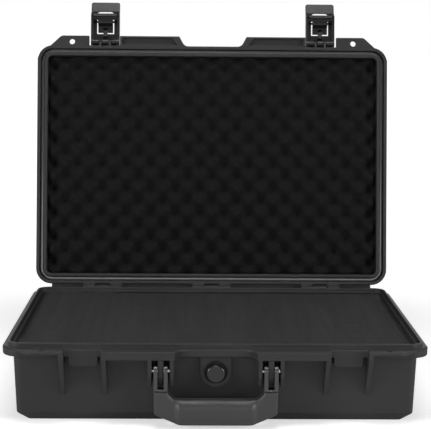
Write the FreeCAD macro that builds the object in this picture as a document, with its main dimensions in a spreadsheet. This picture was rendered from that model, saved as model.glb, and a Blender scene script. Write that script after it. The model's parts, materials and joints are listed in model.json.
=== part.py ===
"""Waterproof hard case with a hinged lid, two press-and-pull latches and a folding handle.

Frame: X to the right, Y to the back, Z up, in millimetres, with the origin in the middle of the underside.
The case stands with its lid open on its stop, its latches swung out and its handle hanging.
The lid and what it carries are drawn closed, and each latch about its own pivot, then swung to that pose.
"""
import FreeCAD, Part
import math
import os
import re

import Sketcher
from FreeCAD import Vector

SIZES = {
    # Overall
    "case_width": 500,  # over the rim
    "case_depth": 340,  # over the rim, without the front flange
    "base_height": 92,  # underside to the top of the base rim
    "lid_height": 45,  # lid rim to lid top
    "lid_gap": 0.4,  # between the two rims when closed
    "open_angle": 99,  # how far the lid stands open
    # Base rim and sealing tongue
    "rim_corner": 22,
    "rim_face": 10,
    "rim_plate": 4,
    "rim_skirt": 2.6,
    "tongue_inset": 5.9,
    "tongue_thick": 3.4,
    "tongue_height": 5.4,
    # Base walls and foot
    "wall_inset": 12.2,  # from the rim's edge to the wall, at the top
    "wall_draft": 3,  # how much further in the wall is at the foot
    "wall_thick": 3.2,
    "floor_thick": 3.5,
    "base_mouth": 11.2,  # from the rim's edge to the flared mouth
    "foot_run": 11.8,
    "foot_rise": 10.5,
    "foot_corner": 5,
    # Rounded edges
    "edge_round": 1.2,
    "slant_round": 7,
    "gap_round": 1.5,
    "rim_round": 2,
    "foot_round": 4,
    "tongue_round": 1,
    "catch_corner": 4,
    "sleeve_round": 4,
    "knob_round": 2,
    "web_root": 5.5,  # how far webs and faces run into the rim
    # Front flange, the same outline on base and lid
    "flange_reach": 14,
    "flange_inset": 34,  # from the case's side to the end of its front edge
    "flange_sweep": 17,  # where its slanting corner meets the side
    "latch_inset": 95.4,  # from the case's side to the middle of a latch
    "latch_gap": 43.6,
    "notch_front": 48,
    "notch_back": 40.6,
    "notch_round": 9,
    "lock_inset": 49.2,
    "lock_reach": 5.3,
    "lock_hole": 7.8,
    # Ribs beside the latches, and the catch
    "rib_thick": 5.7,
    "rib_drop": 60,
    "catch_width": 34.6,
    "catch_drop": 20.5,
    # Handle and its brackets
    "handle_forward": 9,  # pin ahead of the rim
    "handle_drop": 23.2,  # pin below the rim
    "handle_pin": 4,
    "pin_play": 0.05,  # radial clearance of every pin
    "pin_cover": 1,  # what a latch cheek leaves over the ends of its pins
    "pin_bite": 3,  # how far a handle pin enters each bracket wall
    "leg_centre": 64,
    "leg_width": 16.4,
    "leg_depth": 14,
    "fork_slot": 7.2,
    "fork_depth": 21,
    "fork_play": 0.35,
    "bracket_half": 10.5,
    "bracket_wall": 4.5,
    "bracket_drop": 42,
    "lug_setback": 1.2,
    "handle_length": 64.7,  # pin to the grip's underside
    "grip_height": 31.6,
    "grip_depth": 22,
    "grip_half": 46,
    "grip_round": 10.5,
    "grip_flat": 42.5,
    "grip_rise": 9.5,  # slanted lower corners of the grip
    "grip_shoulder": 13.2,
    "sleeve_wall": 4,
    "sleeve_drop": 23,  # top of the soft sleeve below the pin
    # Purge valve
    "valve_drop": 29.3,
    "valve_pad": 37,
    "pad_inset": 7.5,
    "well_width": 26,
    "well_depth": 2.5,
    "stem_width": 12.5,
    "stem_play": 0.25,
    "stem_length": 20,
    "collar_width": 20,
    "collar_thick": 2,
    "seal_thick": 1.5,
    "nut_width": 19,
    "nut_thick": 4,
    "knob_width": 21.5,
    "knob_length": 8,
    "knob_gap": 0.3,
    "spindle_width": 6,
    "spindle_length": 5,
    # Hinge
    "hinge_back": 6.8,  # axis behind the rim
    "hinge_radius": 6,
    "hinge_pin": 5,
    "hinge_inset": 95,  # from the case's side to the middle of the end hinges
    "base_knuckle": 20,
    "lid_knuckle": 17,
    "knuckle_gap": 0.5,
    "stop_gap": 0.3,
    "stop_top": 3.5,  # stop heel below the axis, lid open
    "stop_bottom": 8,
    "apron_gap": 1,  # between the knuckles and the strip along the lid's back
    "apron_reach": 4,  # strip beyond the axis
    "apron_thick": 3,
    # Lid
    "lid_rim": 12,
    "lid_inset": 11.4,
    "lid_taper": 1.4,
    "lid_bevel": 10,
    "lid_slope": 12,
    "lid_skin": 3.2,
    "groove_inset": 4.6,
    "groove_width": 6,
    "groove_depth": 9.6,
    "mouth_inset": 14.6,
    "panel_border": 3,
    "panel_end": 10,  # from the panel to the notch
    "panel_depth": 5,
    # Gasket and foam
    "gasket_width": 5.2,
    "gasket_height": 3.6,
    "gasket_round": 1.8,
    "foam_gap": 0.4,
    "foam_proud": 0.3,
    "pad_thick": 10,
    "wave_gap": 0.6,
    "wave_pitch": 35,
    "wave_height": 14,
    # Latch, measured from its pivot
    "pivot_reach": 6.8,
    "pivot_rise": 14.6,
    "pivot_pin": 4,
    "latch_swing": 90,
    "ear_offset": 6.7,
    "ear_width": 3.5,
    "ear_radius": 4.5,
    "ear_play": 0.35,
    "lever_width": 41,
    "lever_length": 58.5,
    "lever_front": 8,
    "lever_skin": 3,
    "lever_top": 5,
    "lip_length": 13.5,
    "lip_flare": 3.5,
    "lip_corner": 3,
    "cheek_thick": 3,
    "cheek_depth": 4,
    "cheek_end": 40,
    "barrel_radius": 5,
    "window_width": 24.6,
    "window_top": 12.5,
    "window_margin": 0.4,  # between the window and the pull lip
    "window_corner": 5,
    "button_width": 21.2,
    "button_gap": 1.8,
    "button_thick": 3.5,
    "button_end": 36,
    "button_pin": 3,
    "rocker_drop": 29,
    "boss_radius": 3,
    "hook_play": 0.6,
    "hook_reach": 3,  # how far the nose goes under the catch
    "hook_thick": 4,
    "hook_heel": 1,
    "hook_clear": 2,
    "spring_root": 3,
    "spring_width": 6,
    "spring_thick": 0.4,
    "spring_seat": 0.3,
}

# Places that several pieces share, as expressions of the sizes
FRONT = "(-case_depth / 2)"
BACK = "(case_depth / 2)"
FLANGE_Y = f"({FRONT} - flange_reach)"
RIM_Z = "(base_height - rim_face)"
LID_Z = "(base_height + lid_gap)"
LID_TOP = f"({LID_Z} + lid_height)"
HINGE_Y = f"({BACK} + hinge_back)"
HINGE_Z = "base_height"
FLANGE_SIDE = "(case_width / 2 - flange_inset)"
LATCH_X = "(case_width / 2 - latch_inset)"
GAP_OUTER = f"({LATCH_X} + latch_gap / 2)"
GAP_INNER = f"({LATCH_X} - latch_gap / 2)"
LOCK_X = "(case_width / 2 - lock_inset)"
HINGE_X = "(case_width / 2 - hinge_inset)"
LOCK_Y = f"({FRONT} - lock_reach)"
HANDLE_Y = f"({FRONT} - handle_forward)"
HANDLE_Z = "(base_height - handle_drop)"
GRIP_Z = f"({HANDLE_Z} - handle_length)"
VALVE_Z = "(base_height - valve_drop)"
WELL_Y = f"({FRONT} + pad_inset + well_depth)"
PIVOT_Y = f"({FRONT} - pivot_reach)"
PIVOT_Z = f"({LID_Z} + pivot_rise)"
# The walls' inner sides, in from the rim's edge
NECK = "(wall_inset + wall_thick)"
NECK_Z = "(base_height - rim_plate)"
FOOT = "(wall_inset + wall_draft)"
HEEL = f"({FOOT} + foot_run)"
DEEP_Y = f"({FRONT} + {FOOT} + wall_thick)"
FOAM_TOP = "(base_height + foam_proud)"
FOAM_BOTTOM = "(floor_thick + pad_thick)"
# The latch's own frame: the catch and its nose, from the pivot
CATCH_Z = "(-pivot_rise - lid_gap - catch_drop)"
NOSE_Z = f"({CATCH_Z} - hook_play)"
WINDOW_END = "(lip_length + window_margin - lever_length)"
BUTTON_TOP = "(-window_top - button_gap)"
BUTTON_BACK = "(button_thick - lever_front)"

PLANES = {"plan": "XY_Plane", "front": "XZ_Plane", "side": "YZ_Plane"}

doc = FreeCAD.newDocument("hard_case")
sheet = doc.addObject("Spreadsheet::Sheet", "dims")
for row, (size, number) in enumerate(SIZES.items(), 1):
    sheet.set(f"A{row}", size)
    sheet.set(f"B{row}", str(number))
    sheet.setAlias(f"B{row}", size)
doc.recompute()

pieces = []


def full(expression):
    """Name the sheet before each size, as objects outside it need."""
    return re.sub(r"\b[a-z]+(?:_[a-z]+)+\b", r"dims.\g<0>", expression)


def value(expression):
    """Work out an expression of sizes as a number."""
    return float(sheet.evalExpression(expression))


def bind(thing, setting, expression):
    """Tie a property of an object to an expression of sizes."""
    thing.setExpression(setting, full(expression))


def new_body(label, place=None):
    """Start a sub-part as a body, at rest where the placement expression puts it."""
    body = doc.addObject("PartDesign::Body", label)
    body.Label = label
    if place:
        bind(body, "Placement", place)
    pieces.append(body)
    return body


def origin_part(body, role):
    """Find one of a body's own planes or axes."""
    return next(part for part in body.Origin.OriginFeatures if part.Role == role)


def sketch_on(body, name, view, offset):
    """Make a sketch in plan, front or side view, offset along the view's normal (+Z, -Y or +X)."""
    sketch = body.newObject("Sketcher::SketchObject", name + "_sketch")
    sketch.AttachmentSupport = (origin_part(body, PLANES[view]), [""])
    sketch.MapMode = "FlatFace"
    bind(sketch, "AttachmentOffset.Base.z", offset)
    return sketch


def pin_point(sketch, line, end, x, y):
    """Hold a point of a sketch at coordinates given as expressions."""
    for kind, place in (("DistanceX", x), ("DistanceY", y)):
        index = sketch.addConstraint(Sketcher.Constraint(kind, line, end, value(place)))
        bind(sketch, f"Constraints[{index}]", place)


def draw_outline(sketch, points):
    """Draw a closed outline of straight edges."""
    spots = [Vector(value(x), value(y), 0) for x, y in points]
    first = sketch.GeometryCount
    count = len(spots)
    for i, spot in enumerate(spots):
        sketch.addGeometry(Part.LineSegment(spot, spots[(i + 1) % count]))
    for i, (x, y) in enumerate(points):
        sketch.addConstraint(Sketcher.Constraint("Coincident", first + i, 2, first + (i + 1) % count, 1))
        pin_point(sketch, first + i, 1, x, y)


def draw_circle(sketch, x, y, diameter):
    """Draw a circle about a point."""
    circle = Part.Circle(Vector(value(x), value(y), 0), Vector(0, 0, 1), value(diameter) / 2)
    index = sketch.addGeometry(circle)
    pin_point(sketch, index, 3, x, y)
    width = sketch.addConstraint(Sketcher.Constraint("Diameter", index, value(diameter)))
    bind(sketch, f"Constraints[{width}]", diameter)


def draw_rounded(sketch, half_x, half_y, corner, centre=("0", "0")):
    """Draw a rectangle with rounded corners about a point, from its half sizes."""
    middle = Vector(value(centre[0]), value(centre[1]), 0)
    across, along, radius = value(half_x), value(half_y), value(corner)
    first = sketch.GeometryCount
    turns = ((1, -1), (1, 1), (-1, 1), (-1, -1))
    for i, (sx, sy) in enumerate(turns):
        before = turns[i - 1]
        start = middle + Vector(before[0] * across, before[1] * along, 0)
        end = middle + Vector(sx * across, sy * along, 0)
        step = (end - start).normalize() * radius
        sketch.addGeometry(Part.LineSegment(start + step, end - step))
        heart = middle + Vector(sx * (across - radius), sy * (along - radius), 0)
        round_edge = Part.Circle(heart, Vector(0, 0, 1), radius)
        begin = math.radians(90 * i - 90)
        sketch.addGeometry(Part.ArcOfCircle(round_edge, begin, begin + math.pi / 2))
    for i in range(4):
        line, arc, after = first + 2 * i, first + 2 * i + 1, first + (2 * i + 2) % 8
        sketch.addConstraint(Sketcher.Constraint("Tangent", line, 2, arc, 1))
        sketch.addConstraint(Sketcher.Constraint("Tangent", arc, 2, after, 1))
        sketch.addConstraint(Sketcher.Constraint(("Horizontal", "Vertical")[i % 2], line))
        if i:
            sketch.addConstraint(Sketcher.Constraint("Equal", first + 1, arc))
    size = sketch.addConstraint(Sketcher.Constraint("Radius", first + 1, radius))
    bind(sketch, f"Constraints[{size}]", corner)
    sides = (
        (0, "DistanceY", f"{centre[1]} - ({half_y})"),
        (2, "DistanceX", f"{centre[0]} + ({half_x})"),
        (4, "DistanceY", f"{centre[1]} + ({half_y})"),
        (6, "DistanceX", f"{centre[0]} - ({half_x})"),
    )
    for line, kind, place in sides:
        index = sketch.addConstraint(Sketcher.Constraint(kind, first + line, 1, value(place)))
        bind(sketch, f"Constraints[{index}]", place)


def draw_inset(sketch, inset, corner):
    """Draw the rim's outline moved in from its edge."""
    draw_rounded(sketch, f"case_width / 2 - ({inset})", f"case_depth / 2 - ({inset})", corner)


def feature(body, kind, name, sketch, length, backwards=False):
    """Pad or pocket a sketch along its view's normal, or backwards."""
    made = body.newObject("PartDesign::" + kind, name)
    made.Profile = sketch
    bind(made, "Length", length)
    made.Reversed = backwards != (kind == "Pocket")
    return made


def block(body, name, x, y, z, kind="Pad"):
    """Add or cut a plain block between pairs of coordinates."""
    sketch = sketch_on(body, name, "plan", z[0])
    draw_outline(sketch, [(x[0], y[0]), (x[1], y[0]), (x[1], y[1]), (x[0], y[1])])
    return feature(body, kind, name, sketch, f"{z[1]} - ({z[0]})")


def slab(body, name, view, offset, length, points, kind="Pad"):
    """Add or cut a prism of an outline drawn in one of the views."""
    sketch = sketch_on(body, name, view, offset)
    draw_outline(sketch, points)
    return feature(body, kind, name, sketch, length)


def rod(body, name, view, offset, length, centre, diameter, kind="Pad"):
    """Add or cut a round bar square to one of the views."""
    sketch = sketch_on(body, name, view, offset)
    draw_circle(sketch, centre[0], centre[1], diameter)
    return feature(body, kind, name, sketch, length)


def ring(body, name, z, height, outer, inner, kind="Pad"):
    """Add or cut a band that follows the rim, between two insets."""
    sketch = sketch_on(body, name, "plan", z)
    draw_inset(sketch, outer, f"rim_corner - ({outer})")
    draw_inset(sketch, inner, f"rim_corner - ({inner})")
    return feature(body, kind, name, sketch, height)


def stack(body, name, kind, sections):
    """Add or cut a straight-sided form through rim outlines at several heights."""
    sketches = []
    for i, (z, inset, corner) in enumerate(sections):
        sketch = sketch_on(body, f"{name}_{i}", "plan", z)
        draw_inset(sketch, inset, corner)
        sketches.append(sketch)
    made = body.newObject(f"PartDesign::{kind}Loft", name)
    made.Profile = sketches[0]
    made.Sections = sketches[1:]
    made.Ruled = True
    return made


def mirror(body, name, originals):
    """Repeat features of the left half on the right."""
    made = body.newObject("PartDesign::Mirrored", name)
    made.Originals = originals
    made.MirrorPlane = (origin_part(body, "YZ_Plane"), [""])
    body.Tip = made


def repeat_hinges(body, name, originals):
    """Repeat the left hinge's features at the middle and right hinges."""
    made = body.newObject("PartDesign::LinearPattern", name)
    made.Originals = originals
    made.Direction = (origin_part(body, "X_Axis"), [""])
    bind(made, "Length", f"2 * {HINGE_X}")
    made.Occurrences = 3
    body.Tip = made


def soften(body, name, radius, wanted):
    """Round those edges of a body whose points, both ends and the middle, all pass a test."""
    doc.recompute()
    tip = body.Tip
    names = []
    for i, edge in enumerate(tip.Shape.Edges, 1):
        points = [vertex.Point for vertex in edge.Vertexes]
        points.append(edge.valueAt((edge.FirstParameter + edge.LastParameter) / 2))
        if all(wanted(point) for point in points):
            names.append(f"Edge{i}")
    made = body.newObject("PartDesign::Fillet", name)
    made.Base = (tip, names)
    bind(made, "Radius", radius)
    return made


def near(number, expression):
    """Say whether a coordinate is at the place that an expression gives."""
    return abs(number - value(expression)) < 0.01


def at_height(expression):
    """Test for points at a height."""
    return lambda point: near(point.z, expression)


def rim_edge(z):
    """Test for points on the rim's outer outline at a height."""
    def wanted(point):
        across = near(abs(point.x), "case_width / 2") or near(abs(point.y), "case_depth / 2")
        corner = abs(point.x) > value("case_width / 2 - rim_corner / 2")
        return near(point.z, z) and (across or corner)
    return wanted


def upright(corners):
    """Test for points on upright edges at plan corners, given for the left and taken on both sides."""
    places = [(value(x), value(y)) for x, y in corners]

    def wanted(point):
        return any(abs(abs(point.x) + x) < 0.01 and abs(point.y - y) < 0.01 for x, y in places)
    return wanted


def turned(angle, y, z):
    """Placement expression: a turn about an axis along X."""
    return f"placement(vector(0; 0; 0); rotation(vector(1; 0; 0); {angle}); vector(0; {y}; {z}))"


LID_PLACE = turned("-open_angle", HINGE_Y, HINGE_Z)


def latch_place(side):
    """Placement expression of a latch that stands open on the open lid, on side -1 or 1."""
    spot = f"vector({side} * {LATCH_X}; {PIVOT_Y}; {PIVOT_Z})"
    return f"{LID_PLACE} * placement({spot}; rotation(vector(1; 0; 0); -latch_swing))"


def rim_plate(body, z, face):
    """Plate of the rim's full outline with the front flange, its edge rounded on the face given."""
    left = [
        ("-case_width / 2", BACK),
        ("-case_width / 2", f"{FRONT} + flange_sweep"),
        (f"-{FLANGE_SIDE}", FLANGE_Y),
        (f"-{GAP_OUTER}", FLANGE_Y),
        (f"-{GAP_OUTER}", FRONT),
        (f"-{GAP_INNER}", FRONT),
        (f"-{GAP_INNER}", FLANGE_Y),
        ("-notch_front", FLANGE_Y),
        ("-notch_back", FRONT),
    ]
    right = [(x[1:], y) for x, y in reversed(left)]
    slab(body, "rim_plate", "plan", z, "rim_plate", left + right)
    corners = (
        ("back_corners", "rim_corner", left[:1]),
        ("slant_corners", "slant_round", left[1:3]),
        ("gap_corners", "gap_round", left[3:8]),
        ("notch_corners", "notch_round", left[8:]),
    )
    for name, radius, places in corners:
        soften(body, name, radius, upright(places))
    soften(body, "plate_edge", "edge_round", at_height(face))


def front_faces(body, z, height):
    """Tall face of the front flange between each latch and the notch."""
    inner = f"({FRONT} + web_root)"
    return slab(body, "front_face", "plan", z, height, [
        (f"-{GAP_INNER}", FLANGE_Y),
        ("-notch_front", FLANGE_Y),
        ("-notch_back", FRONT),
        ("-notch_back", inner),
        (f"-{GAP_INNER}", inner),
    ])


def base_ribs(body):
    """Gussets beside the left latch, its catch, and the three walls of the left handle bracket."""
    top = "(base_height - rim_plate / 2)"
    gusset = [
        (FLANGE_Y, top),
        (FLANGE_Y, RIM_Z),
        (f"{FRONT} + {FOOT}", "base_height - rib_drop"),
        (DEEP_Y, "base_height - rib_drop"),
        (DEEP_Y, top),
    ]
    low = "(base_height - bracket_drop)"
    bracket = [
        (FLANGE_Y, top),
        (FLANGE_Y, f"{HANDLE_Z} - leg_depth / 2"),
        (HANDLE_Y, low),
        (DEEP_Y, low),
        (DEEP_Y, top),
    ]
    tongue_low = f"({HANDLE_Z} - fork_depth + handle_pin)"
    tongue = [
        (f"{FLANGE_Y} + lug_setback", top),
        (f"{FLANGE_Y} + lug_setback", f"{HANDLE_Z} - leg_depth / 2"),
        (HANDLE_Y, tongue_low),
        (DEEP_Y, tongue_low),
        (DEEP_Y, top),
    ]
    outer_wall = "(-leg_centre - bracket_half - bracket_wall)"
    tongue_width = "(fork_slot - 2 * fork_play)"
    catch = sketch_on(body, "catch", "front", f"-{DEEP_Y}")
    catch_half = "(catch_drop / 2 - rim_plate / 4)"
    middle = (f"-{LATCH_X}", f"base_height - catch_drop + {catch_half}")
    draw_rounded(catch, "catch_width / 2", catch_half, "catch_corner", middle)
    return [
        slab(body, "outer_rib", "side", f"-{GAP_OUTER} - rib_thick", "rib_thick", gusset),
        slab(body, "inner_rib", "side", f"-{GAP_INNER}", "rib_thick", gusset),
        feature(body, "Pad", "catch", catch, f"{DEEP_Y} - {FRONT}"),
        slab(body, "bracket_outer", "side", outer_wall, "bracket_wall", bracket),
        slab(body, "bracket_inner", "side", "bracket_half - leg_centre", "bracket_wall", bracket),
        slab(body, "bracket_tongue", "side", f"-leg_centre - {tongue_width} / 2", tongue_width, tongue),
    ]


def base_hinges(body):
    """Base knuckles, each on a web from the rim."""
    start = f"-{HINGE_X} - base_knuckle / 2"
    web = [
        (f"{BACK} - web_root", RIM_Z),
        (BACK, RIM_Z),
        (HINGE_Y, f"{HINGE_Z} - hinge_radius"),
        (HINGE_Y, HINGE_Z),
        (f"{BACK} - web_root", HINGE_Z),
    ]
    made = [
        slab(body, "hinge_web", "side", start, "base_knuckle", web),
        rod(body, "hinge_barrel", "side", start, "base_knuckle", (HINGE_Y, HINGE_Z), "2 * hinge_radius"),
    ]
    repeat_hinges(body, "base_knuckles", made)


def hinge_bore(body):
    """Bore every knuckle of a shell for the hinge pins."""
    diameter = "hinge_pin + 2 * pin_play"
    rod(body, "hinge_bore", "side", "-case_width / 2", "case_width", (HINGE_Y, HINGE_Z), diameter, "Pocket")


def lock_holes(body, z):
    """Padlock hole through a flange tab on each side."""
    hole = rod(body, "lock_hole", "plan", z, "rim_plate", (f"-{LOCK_X}", LOCK_Y), "lock_hole", "Pocket")
    mirror(body, "lock_holes", [hole])


def make_base_shell():
    """Tub with drafted walls and bevelled foot, rim skirt, tongue, flange, ribs, brackets and knuckles."""
    body = new_body("base_shell")
    rim_plate(body, "base_height - rim_plate", "base_height")
    rim = sketch_on(body, "rim", "plan", RIM_Z)
    draw_inset(rim, "0", "rim_corner")
    feature(body, "Pad", "rim", rim, "rim_face - rim_plate / 2")
    soften(body, "rim_under", "rim_round", rim_edge(RIM_Z))
    ring(body, "skirt_hollow", RIM_Z, "rim_face - rim_plate", "rim_skirt", "wall_inset", "Pocket")
    stack(body, "tub", "Additive", [
        ("0", HEEL, "foot_corner"),
        ("foot_rise", FOOT, f"rim_corner - {FOOT}"),
        (RIM_Z, "wall_inset", "rim_corner - wall_inset"),
    ])
    soften(body, "foot_edge", "foot_round", at_height("foot_rise"))
    soften(body, "sole_edge", "rim_round", at_height("0"))
    faces = front_faces(body, RIM_Z, "rim_face - rim_plate / 2")
    mirror(body, "base_sides", [faces] + base_ribs(body))
    base_hinges(body)
    pad_half = "valve_pad / 2"
    pad_y = f"({FRONT} + pad_inset)"
    block(body, "valve_neck", (f"-{pad_half}", pad_half), (pad_y, DEEP_Y), (VALVE_Z, f"{RIM_Z} + rim_plate"))
    rod(body, "valve_pad", "front", f"-{DEEP_Y}", f"{DEEP_Y} - {pad_y}", ("0", VALVE_Z), "valve_pad")
    ring(body, "tongue", "base_height", "tongue_height", "tongue_inset", "(tongue_inset + tongue_thick)")
    soften(body, "tongue_edge", "tongue_round", at_height("base_height + tongue_height"))
    stack(body, "cavity", "Subtractive", [
        ("floor_thick", f"{HEEL} + wall_thick / 2", "foot_corner"),
        ("foot_rise + wall_thick / 2", f"{FOOT} + wall_thick", "foot_corner"),
        (NECK_Z, NECK, f"rim_corner - {NECK}"),
        ("base_height", "base_mouth", "rim_corner - base_mouth"),
    ])
    well = f"-{WELL_Y}"
    rod(body, "valve_well", "front", well, "flange_reach", ("0", VALVE_Z), "well_width", "Pocket")
    bore = "stem_width + 2 * stem_play"
    inside = f"-{DEEP_Y} - wall_thick"
    rod(body, "valve_bore", "front", inside, "flange_reach", ("0", VALVE_Z), bore, "Pocket")
    hinge_bore(body)
    pin_end = "(leg_centre + bracket_half + pin_bite)"
    pin_bore = "handle_pin + 2 * pin_play"
    rod(body, "pin_bore", "side", f"-{pin_end}", f"2 * {pin_end}", (HANDLE_Y, HANDLE_Z), pin_bore, "Pocket")
    lock_holes(body, "base_height - rim_plate")


def lid_ears(body):
    """Two ears that carry the left latch's pin, from the lid's wall out to the pivot."""
    root = f"({FRONT} + lid_inset + lid_skin / 2)"
    low = f"({LID_Z} + lid_rim - ear_radius)"
    fin = [
        (FRONT, low),
        (PIVOT_Y, f"{PIVOT_Z} - ear_radius"),
        (PIVOT_Y, f"{PIVOT_Z} + ear_radius"),
        (root, f"{PIVOT_Z} + ear_radius"),
        (root, low),
    ]
    made = []
    for name, side in (("outer", "-"), ("inner", "+")):
        start = f"-{LATCH_X} {side} ear_offset - ear_width / 2"
        made.append(slab(body, f"ear_{name}", "side", start, "ear_width", fin))
        barrel = rod(body, f"eye_{name}", "side", start, "ear_width", (PIVOT_Y, PIVOT_Z), "2 * ear_radius")
        made.append(barrel)
    bore = "pivot_pin + 2 * pin_play"
    start = f"-{LATCH_X} - lever_width / 2"
    made.append(rod(body, "ear_bore", "side", start, "lever_width", (PIVOT_Y, PIVOT_Z), bore, "Pocket"))
    return made


def lid_hinges(body):
    """Two lid knuckles at each hinge, with a web from the rim and a heel that stops the open lid."""
    web = [
        (f"{BACK} - web_root", LID_Z),
        (HINGE_Y, LID_Z),
        (HINGE_Y, f"{HINGE_Z} + hinge_radius"),
        (BACK, f"{LID_Z} + lid_rim"),
        (f"{BACK} - web_root", f"{LID_Z} + lid_rim"),
    ]
    reach = "(stop_gap - hinge_back)"
    heel = []
    for y, z in ((reach, "-stop_bottom"), ("0", "-stop_bottom"), ("0", "-stop_top"), (reach, "-stop_top")):
        heel.append((
            f"{HINGE_Y} + {y} * cos(open_angle) - ({z}) * sin(open_angle)",
            f"{HINGE_Z} + {y} * sin(open_angle) + ({z}) * cos(open_angle)",
        ))
    edge = "(base_knuckle / 2 + knuckle_gap)"
    made = []
    for name, start in (
        ("outer", f"-{HINGE_X} - {edge} - lid_knuckle"),
        ("inner", f"-{HINGE_X} + {edge}"),
    ):
        made.append(slab(body, f"web_{name}", "side", start, "lid_knuckle", web))
        made.append(slab(body, f"heel_{name}", "side", start, "lid_knuckle", heel))
        knuckle = (HINGE_Y, HINGE_Z)
        made.append(rod(body, f"knuckle_{name}", "side", start, "lid_knuckle", knuckle, "2 * hinge_radius"))
    repeat_hinges(body, "lid_knuckles", made)


def lid_apron(body):
    """Strip along the back of the rim, which hangs behind the gap over the hinges when the lid is open."""
    low = f"({HINGE_Z} + hinge_radius + apron_gap)"
    high = f"({low} + apron_thick)"
    end = f"({HINGE_Y} + apron_reach)"
    root = f"({BACK} - web_root)"
    half = "(case_width / 2 - rim_corner)"
    strip = [(root, low), (end, low), (end, high), (root, high)]
    slab(body, "apron", "side", f"-{half}", f"2 * {half}", strip)


def make_lid_shell():
    """Bevelled lid with a gasket groove in its rim, the front flange, latch ears and knuckles."""
    body = new_body("lid_shell", LID_PLACE)
    half_plate = f"({LID_Z} + rim_plate / 2)"
    rim_plate(body, LID_Z, LID_Z)
    rim = sketch_on(body, "rim", "plan", half_plate)
    draw_inset(rim, "0", "rim_corner")
    feature(body, "Pad", "rim", rim, "lid_rim - rim_plate / 2")
    soften(body, "rim_upper", "rim_round", rim_edge(f"{LID_Z} + lid_rim"))
    sides = [front_faces(body, half_plate, "lid_rim - rim_plate / 2")]
    border = "panel_border"
    panel = [
        (f"-{GAP_INNER} + {border}", f"{FLANGE_Y} + {border}"),
        ("-notch_front - panel_end", f"{FLANGE_Y} + {border}"),
        ("-notch_back - panel_end", f"{FRONT} - {border} / 2"),
        (f"-{GAP_INNER} + {border}", f"{FRONT} - {border} / 2"),
    ]
    sides.append(slab(body, "flange_panel", "plan", LID_Z, "panel_depth", panel, "Pocket"))
    mirror(body, "lid_sides", sides)
    shoulder = f"({LID_TOP} - lid_bevel)"
    wide = "(lid_inset + lid_taper)"
    stack(body, "dome", "Additive", [
        (f"{LID_Z} + lid_rim", "lid_inset", "rim_corner - lid_inset"),
        (shoulder, wide, f"rim_corner - {wide}"),
        (LID_TOP, f"({wide} + lid_slope)", "foot_corner"),
    ])
    soften(body, "dome_shoulder", "foot_round", at_height(shoulder))
    soften(body, "dome_top", "foot_round", at_height(LID_TOP))
    stack(body, "cavity", "Subtractive", lid_inside("0"))
    mirror(body, "latch_ears", lid_ears(body))
    lid_hinges(body)
    lid_apron(body)
    groove_end = "(groove_inset + groove_width)"
    ring(body, "groove", LID_Z, "groove_depth", "groove_inset", groove_end, "Pocket")
    hinge_bore(body)
    lock_holes(body, LID_Z)


def lid_inside(gap):
    """Sections of the lid's hollow, from its mouth to its ceiling, drawn in by a gap."""
    mouth = f"(mouth_inset + {gap})"
    deep = f"({mouth} + lid_taper)"
    ceiling = f"({deep} + lid_slope)"
    corner = "rim_corner - mouth_inset"
    return [
        (LID_Z, mouth, corner),
        (f"{LID_TOP} - lid_bevel - lid_skin / 2", deep, "foot_corner"),
        (f"{LID_TOP} - lid_skin", ceiling, "foot_corner"),
    ]


def make_lid_gasket():
    """Soft cord in the lid's groove, clear of the tongue when closed."""
    body = new_body("lid_gasket", LID_PLACE)
    floor = f"({LID_Z} + groove_depth)"
    outer = "(groove_inset + (groove_width - gasket_width) / 2)"
    low = f"({floor} - gasket_height)"
    ring(body, "cord", low, "gasket_height", outer, f"({outer} + gasket_width)")
    soften(body, "round", "gasket_round", at_height(low))


def make_lid_foam():
    """Convoluted sheet: a block that fills the lid, with staggered peaks and hollows on its face."""
    block_body = doc.addObject("PartDesign::Body", "foam_block")
    stack(block_body, "block", "Additive", lid_inside("foam_gap"))
    wave = doc.addObject("Part::Feature", "foam_wave")
    wave.Shape = wave_solid()
    foam = doc.addObject("Part::Common", "lid_foam")
    foam.Label = "lid_foam"
    foam.Base = block_body
    foam.Tool = wave
    bind(foam, "Placement", LID_PLACE)
    pieces.append(foam)


def wave_solid():
    """Everything beyond a surface of crossed waves, whose peaks stand just inside the lid's rim."""
    pitch = value("wave_pitch")
    step = pitch / 4
    peak = value(f"{LID_Z} + wave_gap")
    middle = value("wave_height") / 2
    # A cubic surface through poles a quarter wave apart has two thirds of their swing
    swing = middle * 1.5
    columns = math.ceil(value("case_width") / 2 / step)
    rows = math.ceil(value("case_depth") / 2 / step)
    poles = []
    for i in range(-columns, columns + 1):
        poles.append([])
        for j in range(-rows, rows + 1):
            crest = math.cos(math.pi * i / 2) * math.cos(math.pi * j / 2)
            poles[-1].append(Vector(i * step, j * step, peak + middle - swing * crest))
    surface = Part.BSplineSurface()
    knots = []
    counts = []
    for lines in (2 * columns + 1, 2 * rows + 1):
        spans = lines - 3
        knots.append([float(k) for k in range(spans + 1)])
        counts.append([4] + [1] * (spans - 1) + [4])
    surface.buildFromPolesMultsKnots(poles, counts[0], counts[1], knots[0], knots[1], False, False, 3, 3)
    return surface.toShape().extrude(Vector(0, 0, value("2 * lid_height")))


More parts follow.
